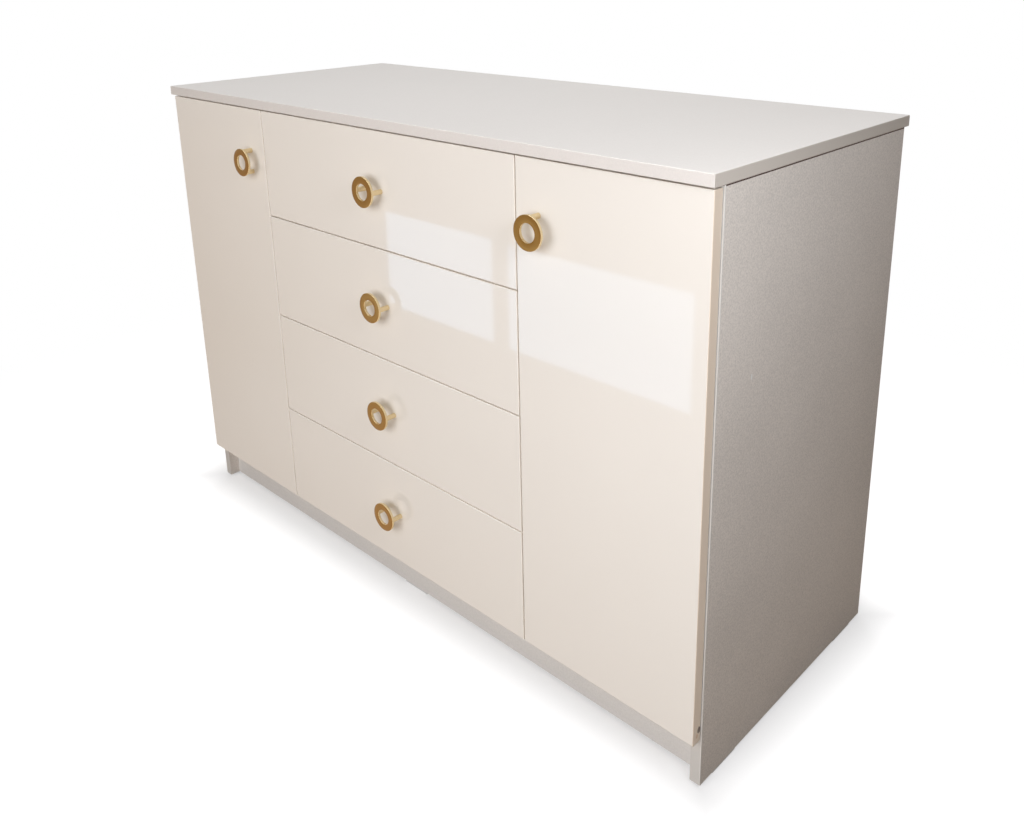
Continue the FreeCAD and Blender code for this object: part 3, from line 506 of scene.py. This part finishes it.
def pan_head(radius, rise):
    """Mesh of one low pan head that faces +Z, closed underneath. The recess starts as a regular
    twelve-sided rim, whose four diagonal corners are drawn in to leave a cross."""
    head = bmesh.new()
    raised = Matrix.Translation((0, 0, rise)) @ Matrix.Rotation(HALF_A_SIDE, 4, "Z")
    bmesh.ops.create_circle(head, cap_ends=True, segments=HEAD_SIDES, radius=RECESS_RADIUS * radius,
                            matrix=raised)
    for corner in head.verts:
        if abs(abs(corner.co.x) - abs(corner.co.y)) < 1e-6:
            corner.co.xy *= RECESS_WAIST
    cross = head.faces[:]
    ring = head.edges[:]
    for share, level in HEAD_RINGS:
        grown = bmesh.ops.extrude_edge_only(head, edges=ring)["geom"]
        ring = [item for item in grown if isinstance(item, bmesh.types.BMEdge)]
        for corner in (item for item in grown if isinstance(item, bmesh.types.BMVert)):
            corner.co.xy = corner.co.xy.normalized() * radius * share
            corner.co.z = rise * level
    bmesh.ops.contextual_create(head, geom=ring)
    sunk = bmesh.ops.extrude_discrete_faces(head, faces=cross)["faces"][0]
    for corner in sunk.verts:
        corner.co = (RECESS_TAPER * corner.co.x, RECESS_TAPER * corner.co.y, RECESS_FLOOR * rise)
    bmesh.ops.recalc_face_normals(head, faces=head.faces[:])
    return finished_head("pan_head", head)


def pin_head(radius, rise):
    """Mesh of one flat round pin head that faces +Z."""
    head = bmesh.new()
    bmesh.ops.create_cone(head, cap_ends=True, segments=PIN_SIDES, radius1=radius, radius2=PIN_CROWN * radius,
                          depth=rise, matrix=Matrix.Translation((0, 0, rise / 2)))
    return finished_head("pin_head", head)


def finished_head(name, head):
    """Mesh data from a head's bmesh, to be copied to each place."""
    data = bpy.data.meshes.new(name)
    head.to_mesh(data)
    head.free()
    return data


def fix(name, body, head, spots):
    """One piece of like heads on one body; spots gives each one's place and facing."""
    mesh = bmesh.new()
    for spot, facing_way in spots:
        first = len(mesh.verts)
        mesh.from_mesh(head)
        mesh.verts.ensure_lookup_table()
        turn = Vector(facing_way).to_track_quat("Z", "Y").to_matrix().to_4x4()
        bmesh.ops.transform(mesh, matrix=Matrix.Translation(spot) @ turn, verts=mesh.verts[first:])
    piece = new_piece(name, mesh, steel)
    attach(piece, body)


wood_screw = pan_head(0.0034, 0.0014)
flat_screw = pan_head(0.0036, 0.0007)
machine_screw = pan_head(0.004, 0.0022)

# Hinges: screws through the plates' wings and the arms into the sides, and through the cups'
# ears into the doors. Handles: two machine screws each, from behind.
HINGE_INSET, WING_SCREW, EAR_SCREW = 0.1, 0.0185, 0.0245
EAR_FROM_EDGE, CUP_FLANGE, PLATE_BASE, ARM_RISE = 0.032, 0.0012, 0.002, 0.0145
ARM_SCREWS = (0.012, 0.036)
plates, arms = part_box("hinge_plates"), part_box("hinge_arms")
plate_middle = (plates[0].y + plates[1].y) / 2
carcass_screws = []
for side, way in (("left", -1), ("right", 1)):
    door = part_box(f"door_{side}_panel")
    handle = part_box(f"door_{side}_handle")
    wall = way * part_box("side_right")[0].x
    inward = (-way, 0, 0)
    ear = way * (max(abs(door[0].x), abs(door[1].x)) - EAR_FROM_EDGE)
    door_screws = []
    for level in (door[0].z + HINGE_INSET, door[1].z - HINGE_INSET):
        for up in (-1, 1):
            carcass_screws.append(((wall - way * PLATE_BASE, plate_middle, level + up * WING_SCREW), inward))
            door_screws.append(((ear, door[1].y + CUP_FLANGE, level + up * EAR_SCREW), BACK))
        for along in ARM_SCREWS:
            carcass_screws.append(((wall - way * ARM_RISE, arms[1].y - along, level), inward))
    fix(f"door_{side}_hinge_screws", f"door_{side}", wood_screw, door_screws)
    handle_x, handle_z = (handle[0].x + handle[1].x) / 2, (handle[0].z + handle[1].z) / 2
    fix(f"door_{side}_handle_screws", f"door_{side}", machine_screw,
        [((handle_x, door[1].y, handle_z + up * POST_OFFSET), BACK) for up in (-1, 1)])
fix("hinge_plate_screws", "carcass", wood_screw, carcass_screws)

# Drawers: three screws a side through each slide's inner and cabinet member, two through each
# box corner into the back, and the handle's two.
SLIDE_SHEET, SLIDE_SCREWS, MEMBER_SET_BACK, CORNER_SCREW = 0.0012, (0.035, 0.19, 0.36), 0.012, 0.018
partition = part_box("partition_right")
member_screws = []
for number in DRAWERS:
    inner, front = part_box(f"drawer_{number}_slide_inner"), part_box(f"drawer_{number}_front")
    handle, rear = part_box(f"drawer_{number}_handle"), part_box(f"drawer_{number}_box_back")
    half_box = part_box(f"drawer_{number}_box_sides")[1].x
    level, handle_z = (inner[0].z + inner[1].z) / 2, (handle[0].z + handle[1].z) / 2
    rear_middle = (rear[0].y + rear[1].y) / 2
    box_screws = []
    for way in (-1, 1):
        outward, inward = (way, 0, 0), (-way, 0, 0)
        for along in SLIDE_SCREWS:
            box_screws.append(((way * (half_box + SLIDE_SHEET), inner[0].y + along, level), outward))
            member_screws.append(((way * (partition[0].x - SLIDE_SHEET),
                                   inner[0].y + along + MEMBER_SET_BACK, level), inward))
        for edge in (rear[0].z + CORNER_SCREW, rear[1].z - CORNER_SCREW):
            box_screws.append(((way * half_box, rear_middle, edge), outward))
    fix(f"drawer_{number}_box_screws", f"drawer_{number}", flat_screw, box_screws)
    fix(f"drawer_{number}_handle_screws", f"drawer_{number}", machine_screw,
        [((way * POST_OFFSET, front[1].y, handle_z), BACK) for way in (-1, 1)])
fix("slide_member_screws", "carcass", flat_screw, member_screws)

# Back: pins all round and down both partitions, at an even step.
PIN_STEP, PIN_INSET, PIN_FROM_TOP = 0.13, 0.006, 0.008
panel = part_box("back_panel")
divider = (partition[0].x + partition[1].x) / 2
steps_along = round((panel[1].x - panel[0].x) / PIN_STEP)
steps_up = round((panel[1].z - panel[0].z) / PIN_STEP)
pins = []
for step in range(steps_along + 1):
    x = panel[0].x + PIN_INSET + step * (panel[1].x - panel[0].x - 2 * PIN_INSET) / steps_along
    pins += [(x, panel[0].z + PIN_INSET), (x, panel[1].z - PIN_FROM_TOP)]
for step in range(1, steps_up):
    z = panel[0].z + step * (panel[1].z - panel[0].z) / steps_up
    pins += [(x, z) for x in (panel[0].x + PIN_INSET, -divider, divider, panel[1].x - PIN_INSET)]
fix("back_panel_pins", "carcass", pin_head(0.0017, 0.0007), [((x, panel[1].y, z), BACK) for x, z in pins])
